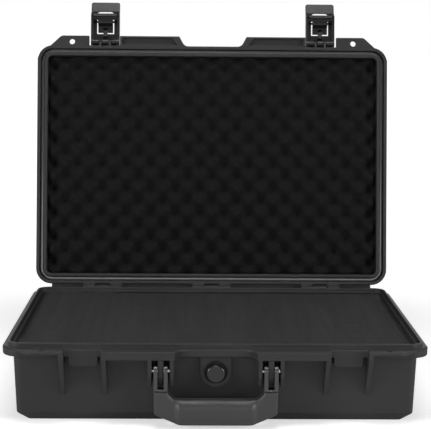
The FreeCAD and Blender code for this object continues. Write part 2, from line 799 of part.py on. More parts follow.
def make_base_foam():
    """Pick foam that fills the base, hollowed behind the purge valve, on a thin pad."""
    pad = new_body("base_pad")
    inset = f"({HEEL} + wall_thick / 2 + 2 * foam_gap)"
    sketch = sketch_on(pad, "sheet", "plan", "floor_thick")
    draw_inset(sketch, inset, "foot_corner")
    feature(pad, "Pad", "sheet", sketch, "pad_thick")
    foam = new_body("pick_foam")
    stack(foam, "columns", "Additive", [
        (FOAM_BOTTOM, f"({FOOT} + wall_thick + foam_gap)", "foot_corner"),
        (NECK_Z, f"({NECK} + foam_gap)", f"rim_corner - {NECK}"),
        (FOAM_TOP, "(base_mouth + foam_gap)", "rim_corner - base_mouth"),
    ])
    relief_y = f"({WELL_Y} + stem_length)"
    rod(foam, "valve_relief", "front", f"-{relief_y}", "stem_length", ("0", VALVE_Z), "well_width", "Pocket")


def make_hinge_pins():
    """One steel pin through the knuckles of each hinge."""
    length = "(base_knuckle + 2 * knuckle_gap + 2 * lid_knuckle)"
    for name, side in (("left", "-1"), ("centre", "0"), ("right", "1")):
        pin = new_body(f"hinge_pin_{name}")
        start = f"{side} * {HINGE_X} - {length} / 2"
        rod(pin, "pin", "side", start, length, (HINGE_Y, HINGE_Z), "hinge_pin")


def make_latch(name, side):
    """Lever, its pin, the press button with the hook, the button's pin and its flat spring."""
    place = latch_place(side)
    make_lever(new_body(f"latch_lever_{name}", place))
    make_button(new_body(f"latch_button_{name}", place))
    spine = "(lever_width / 2 - pin_cover)"
    pin = new_body(f"latch_pin_{name}", place)
    rod(pin, "pin", "side", f"-{spine}", f"2 * {spine}", ("0", "0"), "pivot_pin")
    short_pin = new_body(f"button_pin_{name}", place)
    rod(short_pin, "pin", "side", f"-{spine}", f"2 * {spine}", ("0", "-rocker_drop"), "button_pin")
    make_spring(new_body(f"button_spring_{name}", place))


def make_lever(body):
    """Lever: a skin that ends in a flared pull lip, two cheeks, a split barrel and the button's window."""
    half = "(lever_width / 2)"
    inside = "(lever_skin - lever_front)"
    neck = "(lip_length - lever_length)"
    slab(body, "skin", "side", f"-{half}", "lever_width", [
        (inside, "lever_top"),
        (inside, neck),
        (f"{inside} - lip_flare", "-lever_length"),
        ("-lever_front - lip_flare", "-lever_length"),
        ("-lever_front", neck),
        ("-lever_front", "lever_top"),
    ])
    cheek = [
        (inside, "lever_top"),
        ("cheek_depth", "lever_top"),
        ("cheek_depth", "-cheek_end"),
        (inside, neck),
        ("-lever_front", neck),
        ("-lever_front", "lever_top"),
    ]
    slab(body, "cheek_left", "side", f"-{half}", "cheek_thick", cheek)
    slab(body, "cheek_right", "side", f"{half} - cheek_thick", "cheek_thick", cheek)
    rod(body, "barrel", "side", f"-{half}", "lever_width", ("0", "0"), "2 * barrel_radius")
    block(body, "barrel_web", (f"-{half}", half), (inside, "0"), ("-barrel_radius", "lever_top"))
    window = "(window_width / 2)"
    window_z = (WINDOW_END, "-window_top")
    block(body, "window", (f"-{window}", window), ("-2 * lever_front", "0"), window_z, "Pocket")

    def lip_corner(point):
        return near(abs(point.x), half) and near(point.z, "-lever_length")

    def window_corner(point):
        return near(abs(point.x), window) and near(point.z, WINDOW_END)
    soften(body, "lip_corners", "lip_corner", lip_corner)
    soften(body, "window_corners", "window_corner", window_corner)
    room = "(ear_width / 2 + ear_play)"
    around = ("-2 * barrel_radius", "2 * barrel_radius")
    for slot, middle in (("slot_left", "-ear_offset"), ("slot_right", "ear_offset")):
        across = (f"{middle} - {room}", f"{middle} + {room}")
        block(body, slot, across, (inside, "2 * barrel_radius"), around, "Pocket")
    root = "(spring_width / 2 + ear_play)"
    leaf = "(spring_thick / 2 + ear_play)"
    deep = ("-2 * barrel_radius", "-spring_root")
    block(body, "spring_slot", (f"-{root}", root), (f"-{leaf}", leaf), deep, "Pocket")
    bore = "pivot_pin + 2 * pin_play"
    pin_half = "(lever_width / 2 - pin_cover)"
    rod(body, "pivot_bore", "side", f"-{pin_half}", f"2 * {pin_half}", ("0", "0"), bore, "Pocket")
    small = "button_pin + 2 * pin_play"
    rocker = ("0", "-rocker_drop")
    rod(body, "button_bore", "side", f"-{pin_half}", f"2 * {pin_half}", rocker, small, "Pocket")


def make_button(body):
    """Rocking button in the lever's window, with a boss on its pin and a wide hook below it."""
    half = "(button_width / 2)"
    top = "(-rocker_drop + boss_radius)"
    slab(body, "face", "side", f"-{half}", "button_width", [
        ("-lever_front", BUTTON_TOP),
        (BUTTON_BACK, BUTTON_TOP),
        (BUTTON_BACK, f"{top} + boss_radius"),
        ("0", top),
        ("boss_radius", "-rocker_drop"),
        ("boss_radius", f"{NOSE_Z} + hook_thick"),
        ("0", "-button_end"),
        ("-lever_front", "-button_end"),
    ])
    rod(body, "boss", "side", f"-{half}", "button_width", ("0", "-rocker_drop"), "2 * boss_radius")
    wide = "(lever_width / 2 - cheek_thick - 2 * ear_play)"
    tip = "(pivot_reach + hook_reach)"
    slab(body, "hook", "side", f"-{wide}", f"2 * {wide}", [
        ("-hook_heel", f"{NOSE_Z} + hook_thick"),
        ("pivot_reach - hook_clear", f"{NOSE_Z} + hook_thick"),
        ("pivot_reach - hook_clear", NOSE_Z),
        (tip, f"{NOSE_Z} - hook_play / 2"),
        (f"{tip} - hook_thick / 2", f"{NOSE_Z} - hook_thick"),
        ("-hook_heel", f"{NOSE_Z} - hook_thick"),
    ])
    bore = "button_pin + 2 * pin_play"
    rod(body, "bore", "side", f"-{wide}", f"2 * {wide}", ("0", "-rocker_drop"), bore, "Pocket")


def make_spring(body):
    """Flat strip rooted in the lever's barrel, its end resting on the back of the button."""
    thick = "spring_thick"
    face = f"({BUTTON_BACK} + spring_seat)"
    root = "(-spring_root - spring_seat)"
    bend = f"({BUTTON_TOP} - button_thick)"
    slab(body, "strip", "side", "-spring_width / 2", "spring_width", [
        (f"-{thick} / 2", root),
        (f"{thick} / 2", root),
        (f"{thick} / 2", "-barrel_radius - button_thick"),
        (f"{face} + {thick}", bend),
        (f"{face} + {thick}", f"{bend} - button_thick"),
        (face, f"{bend} - button_thick"),
        (face, bend),
        (f"-{thick} / 2", "-barrel_radius - button_thick"),
    ])


def handle_core(body):
    """Stiff core of the handle below its heads: two legs and the bar that joins them."""
    half = "(leg_width / 2 - sleeve_wall)"
    deep = "(leg_depth / 2 - sleeve_wall / 2)"
    low = f"({GRIP_Z} + grip_shoulder + sleeve_wall)"
    y = (f"{HANDLE_Y} - {deep}", f"{HANDLE_Y} + {deep}")
    end = f"(leg_centre + {half})"
    block(body, "core_bar", (f"-{end}", end), y, (low, f"{GRIP_Z} + grip_height - sleeve_wall"))
    leg_z = (low, f"{HANDLE_Z} - sleeve_drop + sleeve_wall")
    leg = block(body, "core_leg", (f"-{end}", f"-leg_centre + {half}"), y, leg_z)
    mirror(body, "core_legs", [leg])


def make_handle():
    """Handle fork with its stiff core, and the soft sleeve moulded over the core."""
    frame = new_body("handle_frame")
    handle_core(frame)
    seam = f"({HANDLE_Z} - sleeve_drop)"
    across = ("-leg_centre - leg_width / 2", "-leg_centre + leg_width / 2")
    along = (f"{HANDLE_Y} - leg_depth / 2", f"{HANDLE_Y} + leg_depth / 2")
    head = block(frame, "head", across, along, (seam, HANDLE_Z))
    pin = (HANDLE_Y, HANDLE_Z)
    eye = rod(frame, "eye", "side", across[0], "leg_width", pin, "leg_depth")
    slot = ("-leg_centre - fork_slot / 2", "-leg_centre + fork_slot / 2")
    slot_y = (f"{HANDLE_Y} - leg_depth", f"{HANDLE_Y} + leg_depth")
    slot_z = (f"{HANDLE_Z} - fork_depth", f"{HANDLE_Z} + leg_depth")
    fork = block(frame, "fork", slot, slot_y, slot_z, "Pocket")
    bore = rod(frame, "eye_bore", "side", across[0], "leg_width", pin, "handle_pin + 2 * pin_play", "Pocket")
    mirror(frame, "heads", [head, eye, fork, bore])
    legs, bar, core = [doc.addObject("PartDesign::Body", f"grip_{part}") for part in ("legs", "bar", "core")]
    sleeve_legs(legs, seam)
    sleeve_bar(bar)
    handle_core(core)
    outside = doc.addObject("Part::Fuse", "grip_outside")
    outside.Base = legs
    outside.Tool = bar
    grip = doc.addObject("Part::Cut", "handle_grip")
    grip.Label = "handle_grip"
    grip.Base = outside
    grip.Tool = core
    pieces.append(grip)
    for name, side in (("left", "-1"), ("right", "1")):
        length = "(2 * bracket_half + 2 * pin_bite)"
        pin_body = new_body(f"handle_pin_{name}")
        rod(pin_body, "pin", "side", f"{side} * leg_centre - {length} / 2", length, pin, "handle_pin")


def sleeve_legs(body, seam):
    """Outside of the soft sleeve's two legs and the slanted lower corners between them."""
    outer = "(leg_centre + leg_width / 2)"
    inner = "(leg_centre - leg_width / 2)"
    bar_top = f"({GRIP_Z} + grip_height)"
    fillet = "(leg_width / 2)"
    left = [
        (f"-{inner}", seam),
        (f"-{outer}", seam),
        (f"-{outer}", f"{GRIP_Z} + grip_shoulder"),
        ("-leg_centre", f"{GRIP_Z} + grip_rise"),
        ("-grip_flat", GRIP_Z),
    ]
    right = [(x[1:], z) for x, z in reversed(left)]
    opening = [
        (inner, f"{bar_top} + {fillet}"),
        (f"{inner} - {fillet}", bar_top),
        (f"-{inner} + {fillet}", bar_top),
        (f"-{inner}", f"{bar_top} + {fillet}"),
    ]
    front = f"-{HANDLE_Y} - leg_depth / 2"
    slab(body, "frame", "front", front, "leg_depth", left + right + opening)

    def outside(point):
        return near(abs(point.y - value(HANDLE_Y)), "leg_depth / 2") and point.z < value(seam) - 0.01
    soften(body, "frame_edges", "sleeve_round", outside)


def sleeve_bar(body):
    """Outside of the sleeve's thick bar for the hand."""
    bar = sketch_on(body, "bar", "side", "-grip_half")
    middle = (HANDLE_Y, f"{GRIP_Z} + grip_height / 2")
    draw_rounded(bar, "grip_depth / 2", "grip_height / 2", "grip_round", middle)
    feature(body, "Pad", "bar", bar, "2 * grip_half")
    soften(body, "bar_ends", "sleeve_round", lambda point: near(abs(point.x), "grip_half"))


def make_valve():
    """Purge valve: a collared stem through the wall, its seal ring and nut, and the knob on its spindle."""
    axis = ("0", VALVE_Z)
    seal_front = f"({WELL_Y} - seal_thick)"
    collar_front = f"({seal_front} - collar_thick)"
    stem_end = f"({WELL_Y} + stem_length - wall_thick)"
    stem = new_body("valve_body")
    rod(stem, "collar", "front", f"-{seal_front}", "collar_thick", axis, "collar_width")
    rod(stem, "stem", "front", f"-{stem_end}", f"{stem_end} - {seal_front}", axis, "stem_width")
    rod(stem, "spindle", "front", f"-{collar_front}", "spindle_length", axis, "spindle_width")
    seal = new_body("valve_seal")
    band = sketch_on(seal, "band", "front", f"-{WELL_Y}")
    draw_circle(band, "0", VALVE_Z, "collar_width")
    draw_circle(band, "0", VALVE_Z, "stem_width + 2 * stem_play")
    feature(seal, "Pad", "band", band, "seal_thick")
    nut = new_body("valve_nut")
    lowest = "(valve_drop + nut_width / 2 / cos(30) - rim_plate)"
    slope = f"wall_draft / ({NECK_Z} - foot_rise - wall_thick / 2)"
    nut_front = f"({FRONT} + {NECK} + {lowest} * {slope} + 2 * pin_play)"
    hexagon = sketch_on(nut, "hexagon", "front", f"-{nut_front} - nut_thick")
    flat = "(nut_width / 2)"
    point = f"({flat} / cos(30))"
    corners = []
    for turn in range(6):
        corners.append((f"{point} * cos({60 * turn})", f"{VALVE_Z} + {point} * sin({60 * turn})"))
    draw_outline(hexagon, corners)
    draw_circle(hexagon, "0", VALVE_Z, "stem_width + 2 * pin_play")
    feature(nut, "Pad", "hexagon", hexagon, "nut_thick")
    knob = new_body("valve_knob")
    knob_back = f"({collar_front} - knob_gap)"
    rod(knob, "cap", "front", f"-{knob_back}", "knob_length", axis, "knob_width")
    soften(knob, "cap_edge", "knob_round", lambda point: near(point.y, f"{knob_back} - knob_length"))
    hollow = "spindle_width + 2 * pin_play"
    rod(knob, "socket", "front", f"-{knob_back}", "spindle_length", axis, hollow, "Pocket")


def check_document():
    """Stop if any object failed or any sub-part has no sound solid."""
    doc.recompute()
    for thing in doc.Objects:
        if "Invalid" in thing.State or "Error" in thing.State:
            raise RuntimeError(f"{thing.Label} failed: {thing.State}")
    for piece in pieces:
        if piece.Shape.isNull() or not piece.Shape.isValid() or not piece.Shape.Solids:
            raise RuntimeError(f"{piece.Label} has no valid solid")


make_base_shell()
make_lid_shell()
make_lid_gasket()
make_lid_foam()
make_base_foam()
make_hinge_pins()
make_latch("left", "-1")
make_latch("right", "1")
make_handle()
make_valve()
check_document()
os.makedirs("parts", exist_ok=True)
for piece in pieces:
    piece.Shape.exportStep(f"parts/{piece.Label}.step")
    print(f"{piece.Label}: {len(piece.Shape.Solids)} solid, {piece.Shape.Volume / 1000:.2f} cm3")
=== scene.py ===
"""Waterproof hard case: finishes for its moulded pieces, and its foam, gasket and soft grip."""
import json
import math

import bmesh
import bpy
from bpy.props import FloatProperty, FloatVectorProperty, IntProperty, PointerProperty
from bpy.types import Operator, Panel, PropertyGroup
from mathutils import Matrix, Vector, noise


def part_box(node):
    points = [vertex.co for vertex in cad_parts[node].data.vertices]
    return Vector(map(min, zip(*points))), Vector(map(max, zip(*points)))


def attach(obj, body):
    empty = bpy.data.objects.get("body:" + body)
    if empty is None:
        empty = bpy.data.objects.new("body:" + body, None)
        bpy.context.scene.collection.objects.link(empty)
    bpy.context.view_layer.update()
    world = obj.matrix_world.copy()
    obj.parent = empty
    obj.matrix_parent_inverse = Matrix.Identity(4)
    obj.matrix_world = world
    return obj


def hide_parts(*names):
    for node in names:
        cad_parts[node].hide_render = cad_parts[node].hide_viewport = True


bl_info = {
    "name": "Hard case dressing",
    "version": (1, 0, 0),
    "blender": (4, 5, 0),
    "location": "View3D > Sidebar > Hard case",
    "description": "Adds foam, gasket, grip, finishes and a studio to a moulded equipment case",
    "category": "Object",
}

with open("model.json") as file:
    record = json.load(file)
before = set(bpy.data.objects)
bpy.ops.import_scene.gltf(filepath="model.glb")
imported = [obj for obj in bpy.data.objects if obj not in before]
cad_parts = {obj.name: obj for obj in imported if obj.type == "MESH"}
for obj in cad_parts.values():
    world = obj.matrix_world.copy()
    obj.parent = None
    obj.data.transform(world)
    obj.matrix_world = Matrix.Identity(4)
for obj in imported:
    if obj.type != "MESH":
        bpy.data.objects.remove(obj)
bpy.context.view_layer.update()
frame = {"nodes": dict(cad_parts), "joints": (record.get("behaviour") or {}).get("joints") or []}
joints = {joint["name"]: joint for joint in frame["joints"]}

# The lid's pieces are modelled closed, lying flat, and then swung open about the hinge
HINGE = Vector(joints["lid_hinge"]["pos_m"])
OPENING = math.radians(joints["lid_hinge"]["range_deg"][1])
LID_OPEN = Matrix.Translation(HINGE) @ Matrix.Rotation(-OPENING, 4, "X") @ Matrix.Translation(-HINGE)

# Points of a mesh that are nearer to each other than this are merged
DOUBLED = 0.00001
# Height in metres of the foam's uneven lumps, and how many there are to a metre
LID_LUMPS = (0.0005, 40)
BASE_LUMPS = (0.0003, 60)
# The lid's sheet of foam: the part of its room's depth that it fills, and how far its back edge is drawn in
SHEET_FILLS = 0.8
SHEET_TAPER = 0.004
# Room that is left over the base's foam for its lumps, and the length below it that is cut off again
LUMP_ROOM = 0.0006
BLOCK_EXTRA = 0.01
# Parts of their rooms' sizes: the base's foam and pad from front to back, and the pad from side to side
FOAM_ALONG = 0.994
PAD_ACROSS = 0.996
# Radius along the pad's edges
PAD_EDGE = 0.003
# Only the face inside the gasket's ring is larger than this, in square metres
RING_MIDDLE = 0.1
# The grip's second softening starts this far below its ends and grows to its full strength over this length
GRIP_ENDS = 0.006
GRIP_BLEND = 0.012
FLOOR_SIZE = 40
# Between these distances from the middle the floor's glow grows to white
FLOOR_NEAR = 0.45
FLOOR_FAR = 1.5
# The point that every light is aimed at
LIGHTS_AIM = Vector((0, 0, 0.2))
# Width of the camera's sensor in millimetres
SENSOR_WIDTH = 36


def colour_setting(name, description, default):
    """A plain colour that the user can change."""
    return FloatVectorProperty(
        name=name, description=description, subtype="COLOR", size=3, min=0, max=1, default=default
    )


def length_setting(name, description, default):
    """A length in metres that the user can change."""
    return FloatProperty(
        name=name, description=description, unit="LENGTH", subtype="DISTANCE", min=0, precision=5,
        default=default
    )


def passes_setting(name, description, default):
    """A number of smoothing passes that the user can change."""
    return IntProperty(name=name, description=description, min=0, default=default)


def power_setting(name, description, default):
    """A light's power that the user can change."""
    return FloatProperty(name=name, description=description, unit="POWER", default=default)


class FoamSettings(PropertyGroup):
    """Foam in the lid and in the base."""
    wave_pitch: length_setting("Wave pitch", "Distance between the crests of the lid's foam", 0.035)
    wave_depth: length_setting("Wave depth", "Height of the crests over the hollows", 0.014)
    mesh_step: length_setting("Mesh step", "Spacing of the points on the lid's foam", 0.0028)
    lid_edge: length_setting("Lid edge", "How far the lid's foam is drawn in at its edge", 0.003)
    lid_corner: length_setting("Lid corner", "Radius of the lid foam's corners, seen from the front", 0.0075)
    score_pitch: length_setting("Score pitch", "Side of one scored column of the base's foam", 0.0145)
    score_width: length_setting("Score width", "Width of the cuts between the columns", 0.0002)
    score_depth: length_setting("Score depth", "Depth of the cuts that shows", 0.00025)
    side_gap: length_setting("Side gap", "Room between the base's foam and the walls at the sides", 0.0035)
    lid_colour: colour_setting("Lid foam", "Colour of the lid's foam", (0.0068, 0.0068, 0.007))
    base_colour: colour_setting("Base foam", "Colour of the base's foam", (0.038, 0.0365, 0.036))


class TrimSettings(PropertyGroup):
    """Gasket, grip and hard finishes."""
    gasket_width: length_setting("Gasket width", "Width of the gasket", 0.0052)
    gasket_corner: length_setting("Gasket corner", "Radius of the gasket's corners", 0.017)
    gasket_round: length_setting("Gasket round", "Radius along the gasket's edges", 0.0017)
    grip_voxel: length_setting("Grip mesh", "Mesh size of the soft grip", 0.0009)
    grip_soften: passes_setting("Grip soften", "Smoothing passes on the grip", 24)
    bend_soften: passes_setting("Bend soften", "More passes on the grip's bends", 40)
    edge: length_setting("Edge", "Radius that the mouldings' edges shine with", 0.0022)
    shell_colour: colour_setting("Shell", "Colour of the moulded shells", (0.0202, 0.0202, 0.0214))
    latch_colour: colour_setting("Latch", "Colour of the latches", (0.008, 0.008, 0.0085))
    grip_colour: colour_setting("Grip", "Colour of the soft grip", (0.012, 0.012, 0.0126))
    # The gasket's colour is lightened to stand in for the bright highlights along the lid's sides: a painted
    # highlight.
    gasket_painted_highlight_colour: colour_setting("Gasket", "Colour of the gasket", (0.075, 0.075, 0.077))
    valve_colour: colour_setting("Valve", "Colour of the purge valve", (0.008, 0.008, 0.0088))
    steel_colour: colour_setting("Steel", "Colour of the hinge and handle pins", (0.62, 0.62, 0.63))
    dark_steel: colour_setting(
        "Dark steel", "Colour of the pins and springs in the latches", (0.012, 0.012, 0.0125)
    )


class StageSettings(PropertyGroup):
    """Floor, lights and camera."""
    floor_colour: colour_setting("Floor", "Colour of the floor", (0.86, 0.86, 0.86))
    floor_glow: FloatProperty(
        name="Floor glow", description="White added to the floor near the case", default=0.5
    )
    side_power: power_setting("Sides", "Power of each side light", 22)
    front_power: power_setting("Front", "Power of the light by the camera", 6)
    top_power: power_setting("Top", "Power of the overhead light", 14)
    sky_strength: FloatProperty(name="Sky", description="Strength of the light all round", default=0.14)
    lens: FloatProperty(name="Lens", description="Focal length", unit="CAMERA", default=107.99)
    camera_place: FloatVectorProperty(
        name="Camera", description="Where the camera stands", subtype="XYZ", unit="LENGTH",
        default=(-0.0309, -1.632, 0.4649)
    )
    camera_turn: FloatVectorProperty(
        name="Turn", description="The camera's pitch down, roll and turn to the right", subtype="EULER",
        unit="ROTATION", default=(math.radians(8.343), math.radians(0.508), math.radians(1.128))
    )


def focus(piece):
    """Make one object the only selected and active one."""
    bpy.ops.object.select_all(action="DESELECT")
    piece.select_set(True)
    bpy.context.view_layer.objects.active = piece


def edit(piece):
    """Open an object in edit mode with nothing selected."""
    focus(piece)
    bpy.ops.object.mode_set(mode="EDIT")
    bpy.ops.mesh.select_all(action="DESELECT")


def leave_edit():
    """Go back to object mode."""
    bpy.ops.object.mode_set(mode="OBJECT")


def pick(piece, kind, wanted):
    """In edit mode, select the verts or faces that pass a test, and nothing else."""
    bpy.ops.mesh.select_all(action="DESELECT")
    bpy.ops.mesh.select_mode(type={"verts": "VERT", "faces": "FACE"}[kind])
    mesh = bmesh.from_edit_mesh(piece.data)
    for element in getattr(mesh, kind):
        element.select_set(wanted(element))
    mesh.select_flush_mode()
    bmesh.update_edit_mesh(piece.data)


def modify(piece, kind, **settings):
    """Add a modifier with its settings and apply it."""
    focus(piece)
    modifier = piece.modifiers.new(kind.lower(), kind)
    for name, setting in settings.items():
        setattr(modifier, name, setting)
    bpy.ops.object.modifier_apply(modifier=modifier.name)


def tidy_normals(piece):
    """Merge doubled points and turn all faces outwards."""
    edit(piece)
    bpy.ops.mesh.select_all(action="SELECT")
    bpy.ops.mesh.remove_doubles(threshold=DOUBLED)
    bpy.ops.mesh.normals_make_consistent(inside=False)
    leave_edit()


def smooth(piece, degrees):
    """Shade a piece smooth, except over edges sharper than an angle."""
    focus(piece)
    bpy.ops.object.shade_smooth_by_angle(angle=math.radians(degrees))


def lump(spot, height, to_the_metre):
    """How far uneven foam rises or falls at a point."""
    return height * noise.noise(spot * to_the_metre)


def hand_over(piece, body, node, material):
    """Put a finished piece in a node's place, on its body, with its finish."""
    piece.data.materials.clear()
    piece.data.materials.append(material)
    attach(piece, body)
    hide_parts(node)


def closed_box(node):
    """Lowest and highest corner of a lid node with the lid shut."""
    shut = LID_OPEN.inverted()
    spots = [shut @ vertex.co for vertex in frame["nodes"][node].data.vertices]
    low = Vector(min(spot[i] for spot in spots) for i in range(3))
    high = Vector(max(spot[i] for spot in spots) for i in range(3))
    return low, high


def round_corner(spot, half, radius):
    """Draw a point of a rectangle's corner squares in, so that the corners come out round."""
    across = (abs(spot.x) - (half.x - radius)) / radius
    along = (abs(spot.y) - (half.y - radius)) / radius
    if across > 0 and along > 0:
        spot.x = math.copysign(half.x - radius + radius * across * math.sqrt(1 - along ** 2 / 2), spot.x)
        spot.y = math.copysign(half.y - radius + radius * along * math.sqrt(1 - across ** 2 / 2), spot.y)


def close_below(piece, low_z, draw_in):
    """Extrude the open edge of a sheet to a plane, drawn in a little, and close it there."""
    edit(piece)
    bpy.ops.mesh.select_mode(type="EDGE")
    bpy.ops.mesh.select_non_manifold(extend=False, use_wire=False, use_multi_face=False, use_verts=False)
    bpy.ops.mesh.extrude_region_move()
    mesh = bmesh.from_edit_mesh(piece.data)
    for vertex in mesh.verts:
        if vertex.select:
            vertex.co.x -= math.copysign(draw_in, vertex.co.x)
            vertex.co.y -= math.copysign(draw_in, vertex.co.y)
            vertex.co.z = low_z
    bmesh.update_edit_mesh(piece.data)
    bpy.ops.mesh.edge_face_add()
    leave_edit()


def group_tree(name, inputs, outputs):
    """Start a shader node group with named value inputs and outputs."""
    tree = bpy.data.node_groups.new(name, "ShaderNodeTree")
    for socket, default in inputs.items():
        made = tree.interface.new_socket(name=socket, in_out="INPUT", socket_type="NodeSocketFloat")
        made.default_value = default
    for socket in outputs:
        tree.interface.new_socket(name=socket, in_out="OUTPUT", socket_type="NodeSocketFloat")
    return tree, tree.nodes.new("NodeGroupInput"), tree.nodes.new("NodeGroupOutput")


def node(tree, kind, settings=None, **links):
    """Add a node, set its properties, and fill its inputs with values or sockets."""
    made = tree.nodes.new(kind)
    for name, setting in (settings or {}).items():
        setattr(made, name, setting)
    for name, source in links.items():
        key = int(name[1:]) if name[0] == "n" and name[1:].isdigit() else name.replace("_", " ")
        if isinstance(source, bpy.types.NodeSocket):
            tree.links.new(source, made.inputs[key])
        else:
            made.inputs[key].default_value = source
    return made


def math_node(tree, operation, first, second):
    """Add a math node and give its result."""
    return node(tree, "ShaderNodeMath", {"operation": operation}, n0=first, n1=second).outputs[0]


def stretch(tree, source, low, high):
    """Spread a span of values over 0 to 1."""
    return node(tree, "ShaderNodeMapRange", Value=source, From_Min=low, From_Max=high).outputs[0]


def moulded_grain():
    """Fine spark-eroded grain of a moulding, with a broad change of tone."""
    tree, given, result = group_tree("moulded_grain", {"Scale": 900.0}, ("Height", "Tone"))
    place = tree.nodes.new("ShaderNodeTexCoord").outputs["Object"]
    scale = given.outputs["Scale"]
    pits = node(tree, "ShaderNodeTexVoronoi", {"feature": "SMOOTH_F1"}, Vector=place, Scale=scale)
    finer = math_node(tree, "MULTIPLY", scale, 2.3)
    dust = node(tree, "ShaderNodeTexNoise", Vector=place, Scale=finer, Detail=3.0)
    rough = math_node(tree, "MULTIPLY", dust.outputs[0], 0.6)
    tree.links.new(math_node(tree, "ADD", pits.outputs["Distance"], rough), result.inputs["Height"])
    clouds = node(tree, "ShaderNodeTexNoise", Vector=place, Scale=7.0, Detail=4.0)
    tree.links.new(stretch(tree, clouds.outputs[0], 0.3, 0.7), result.inputs["Tone"])
    return tree


def foam_cells():
    """Open cells of foam, with specks of light and dark."""
    tree, given, result = group_tree("foam_cells", {"Scale": 1200.0}, ("Height", "Tone"))
    place = tree.nodes.new("ShaderNodeTexCoord").outputs["Object"]
    scale = given.outputs["Scale"]
    cells = node(tree, "ShaderNodeTexVoronoi", {"feature": "F1"}, Vector=place, Scale=scale)
    coarse = math_node(tree, "MULTIPLY", scale, 0.35)
    lumps = node(tree, "ShaderNodeTexNoise", Vector=place, Scale=coarse, Detail=5.0)
    height = math_node(tree, "ADD", cells.outputs["Distance"], lumps.outputs[0])
    tree.links.new(height, result.inputs["Height"])
    tree.links.new(stretch(tree, lumps.outputs[0], 0.3, 0.7), result.inputs["Tone"])
    return tree


def handling_marks():
    """Broad soft smears where hands and cloths have gone over a surface."""
    tree, given, result = group_tree("handling_marks", {"Scale": 18.0}, ("Mask",))
    place = tree.nodes.new("ShaderNodeTexCoord").outputs["Object"]
    scale = given.outputs["Scale"]
    smear = node(tree, "ShaderNodeTexNoise", Vector=place, Scale=scale, Detail=6.0, Distortion=0.8)
    tree.links.new(stretch(tree, smear.outputs[0], 0.42, 0.68), result.inputs["Mask"])
    return tree


def shared(name):
    """Get a shared effect, building it the first time."""
    makers = {"moulded_grain": moulded_grain, "foam_cells": foam_cells, "handling_marks": handling_marks}
    return bpy.data.node_groups.get(name) or makers[name]()


def effect(tree, name, scale):
    """Place a shared effect in a material at its own scale."""
    made = tree.nodes.new("ShaderNodeGroup")
    made.node_tree = shared(name)
    made.inputs["Scale"].default_value = scale
    return made.outputs


def new_finish(name):
    """Start a material and give it with its tree and shader."""
    material = bpy.data.materials.new(name)
    material.use_nodes = True
    tree = material.node_tree
    return material, tree, tree.nodes["Principled BSDF"]


def set_shader(material, **levels):
    """Set plain inputs of a material's shader."""
    shader = material.node_tree.nodes["Principled BSDF"]
    for name, level in levels.items():
        shader.inputs[name.replace("_", " ")].default_value = level


def tint(tree, shader, colour, tone, low, high):
    """Vary the base colour between two strengths of one colour."""
    dark = [part * low for part in colour] + [1]
    light = [min(part * high, 1) for part in colour] + [1]
    mix = node(tree, "ShaderNodeMix", {"data_type": "RGBA"}, n0=tone, n6=dark, n7=light)
    tree.links.new(mix.outputs[2], shader.inputs["Base Color"])


def vary_roughness(tree, shader, mask, outside, inside):
    """Give the roughness one value outside a soft mask and another inside it."""
    spread = node(tree, "ShaderNodeMapRange", Value=mask, To_Min=outside, To_Max=inside)
    tree.links.new(spread.outputs[0], shader.inputs["Roughness"])


def bump(tree, shader, height, strength, distance, edge=0):
    """Raise a surface's fine relief, and let its edges shine as if rounded, where a radius is given."""
    made = node(tree, "ShaderNodeBump", Height=height, Strength=strength, Distance=distance)
    if edge:
        soft = node(tree, "ShaderNodeBevel", {"samples": 6}, Radius=edge)
        tree.links.new(soft.outputs[0], made.inputs["Normal"])
    tree.links.new(made.outputs[0], shader.inputs["Normal"])


def moulded_plastic(name, colour, grain, strength, roughness, edge):
    """Moulded plastic with its own grain and sheen, and soft edges."""
    material, tree, shader = new_finish(name)
    surface = effect(tree, "moulded_grain", grain)
    marks = effect(tree, "handling_marks", 14.0)
    tint(tree, shader, colour, surface["Tone"], low=0.86, high=1.16)
    vary_roughness(tree, shader, marks["Mask"], outside=roughness, inside=roughness - 0.04)
    bump(tree, shader, surface["Height"], strength, distance=0.0004, edge=edge)
    return material


def soft_rubber(name, colour, roughness):
    """Soft rubber or overmould, smooth with faint smears."""
    material, tree, shader = new_finish(name)
    surface = effect(tree, "moulded_grain", 1500.0)
    marks = effect(tree, "handling_marks", 30.0)
    tint(tree, shader, colour, surface["Tone"], low=0.9, high=1.12)
    vary_roughness(tree, shader, marks["Mask"], outside=roughness, inside=roughness - 0.08)
    bump(tree, shader, surface["Height"], strength=0.12, distance=0.0003)
    set_shader(material, Sheen_Weight=0.04)
    return material


def foam_finish(name, colour, cells):
    """Open-cell foam."""
    material, tree, shader = new_finish(name)
    surface = effect(tree, "foam_cells", cells)
    tint(tree, shader, colour, surface["Tone"], low=0.75, high=1.3)
    bump(tree, shader, surface["Height"], strength=0.45, distance=0.0006)
    set_shader(material, Roughness=0.96, Specular_IOR_Level=0.15)
    return material


